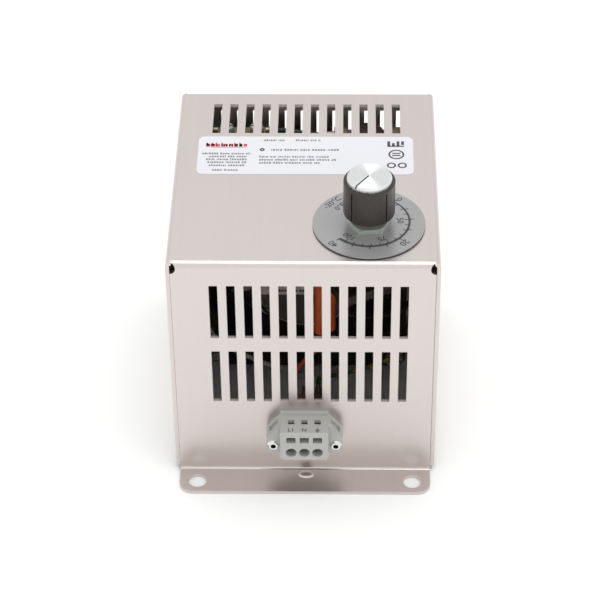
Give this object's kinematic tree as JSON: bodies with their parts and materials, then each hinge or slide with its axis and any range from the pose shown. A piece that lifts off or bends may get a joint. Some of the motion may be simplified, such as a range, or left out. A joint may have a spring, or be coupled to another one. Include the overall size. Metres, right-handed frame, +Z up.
{
  "type": "enclosure heater",
  "caption": "Fan-driven heater for a control cabinet: folded slotted metal case, dial thermostat with black knob, screwless terminal block, fan and wound mica element inside.",
  "frame": {"origin": "centre of the four foot holes, on the plane the feet stand on", "axes": "+X to the right seen from the terminal side, +Y from the terminal side towards the air outlet, +Z up along the foot bolts"},
  "size_m": [0.1016, 0.1372, 0.1277],
  "materials": {
    "sheet_metal": "satin, fine brushed grain, clear anodised",
    "label_film": "satin white film",
    "plated_steel": "zinc plated",
    "fastener_zinc": "bright zinc",
    "rivet_steel": "bright",
    "dial_metal": "matt silver grey",
    "knob_plastic": "semi-gloss black phenolic",
    "spun_cap": "spun, radial sheen",
    "pointer_paint": "filled black line",
    "brass_plain": "plain",
    "shaft_steel": "ground",
    "lever_steel": "blanked",
    "bimetal": "rolled",
    "contact_silver": "bright",
    "block_plastic": "light grey, fine moulded texture",
    "spring_steel": "stainless strip",
    "phenolic": "moulded phenolic",
    "cutout_metal": "drawn cup",
    "fan_plastic": "moulded black",
    "foil": "printed foil",
    "lamination": "stacked laminations",
    "winding": "enamelled copper wire",
    "mica": "pressed mica sheet",
    "ribbon": "oxidised resistance ribbon",
    "glazed_white": "glazed steatite",
    "rubber_black": "plain",
    "lead_orange": "high-temperature insulation",
    "lead_black": "high-temperature insulation",
    "lead_white": "high-temperature insulation",
    "lead_green": "green with a yellow stripe"
  },
  "bodies": {
    "housing": {"bimetal_blade": "bimetal", "blade_contact": "contact_silver", "cutout_body": "phenolic", "cutout_cap": "cutout_metal", "cutout_rivets": "rivet_steel", "cutout_tabs": "brass_plain", "dial_plate": "dial_metal", "dial_spacer": "fastener_zinc", "earth_lead": "lead_green", "fan_bearings": "shaft_steel", "fan_bulkhead": "plated_steel", "fan_coils": "winding", "fan_frame": "fan_plastic", "fan_leads": "lead_black", "fan_nuts": "fastener_zinc", "fan_screws": "fastener_zinc", "fan_stator": "lamination", "ground_fixings": "fastener_zinc", "heater_bus_bars": "brass_plain", "heater_cards": "mica", "heater_rails": "plated_steel", "heater_ribbons": "ribbon", "heater_terminal_strip": "glazed_white", "housing_shell": "sheet_metal", "jumper_lead": "lead_black", "lead_grommets": "rubber_black", "lead_receptacles": "brass_plain", "lever_pin": "shaft_steel", "line_lead": "lead_orange", "line_sleeve": "lead_orange", "mounting_nut": "fastener_zinc", "neutral_lead": "lead_white", "rail_screws": "fastener_zinc", "rating_label": "label_film", "ring_lugs": "brass_plain", "strip_screws": "fastener_zinc", "switched_lead": "lead_black", "terminal_contacts": "brass_plain", "terminal_housing": "block_plastic", "terminal_rivets": "rivet_steel", "terminal_springs": "spring_steel", "thermostat_base": "phenolic", "thermostat_bushing": "brass_plain", "thermostat_pillars": "plated_steel", "thermostat_terminals": "brass_plain", "thermostat_yoke": "plated_steel"},
    "knob": {"thermostat_shaft": "shaft_steel", "shaft_circlip": "fastener_zinc", "set_cam": "lever_steel", "knob_body": "knob_plastic", "knob_insert": "brass_plain", "knob_set_screw": "fastener_zinc", "knob_cap": "spun_cap", "knob_pointer": "pointer_paint"},
    "lever": {"contact_lever": "lever_steel", "lever_contact": "contact_silver"},
    "fan_rotor": {"fan_shaft": "shaft_steel", "fan_rotor_ring": "lamination", "fan_impeller": "fan_plastic", "fan_hub_label": "foil"}
  },
  "joints": [
    {"name": "knob_turn", "type": "hinge", "parent": "housing", "child": "knob", "pos_m": [0.0243, -0.0315, 0.12], "axis": [0, 0, 1], "range_deg": [-10.5, 268.5]},
    {"name": "lever_swing", "type": "hinge", "parent": "housing", "child": "lever", "pos_m": [0.01247, -0.02503, 0.09175], "axis": [0, 0, 1], "range_deg": [-0.47, 12.03]},
    {"name": "fan_spin", "type": "hinge", "parent": "housing", "child": "fan_rotor", "pos_m": [0, 0.006, 0.052], "axis": [0, 1, 0], "continuous": true}
  ],
  "couplings": [
    {"joint": "lever_swing", "follows": "knob_turn", "ratio": 0.0448}
  ]
}
